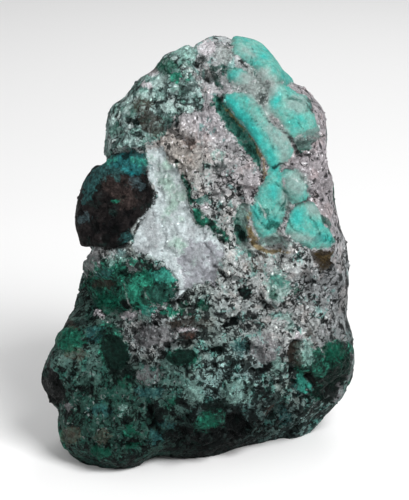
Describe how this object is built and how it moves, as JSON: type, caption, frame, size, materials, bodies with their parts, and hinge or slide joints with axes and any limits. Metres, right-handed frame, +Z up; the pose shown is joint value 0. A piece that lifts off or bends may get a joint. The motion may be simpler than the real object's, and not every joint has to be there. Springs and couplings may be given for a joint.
{
  "type": "rough malachite stone",
  "caption": "Natural rough malachite stone: grey grainy rock with blue-green nodules, dark green lumps and a pale quartz patch, standing on its broad end.",
  "frame": {"origin": "on the ground, under the middle of the stone's box", "axes": "+Z up from the broad end that it stands on to its narrow top, -Y towards the side that the picture shows, +X to that side's right"},
  "size_m": [0.0638, 0.0464, 0.0844],
  "materials": {
    "stone": "matte"
  },
  "bodies": {
    "root": {"stone": "stone"}
  },
  "joints": []
}
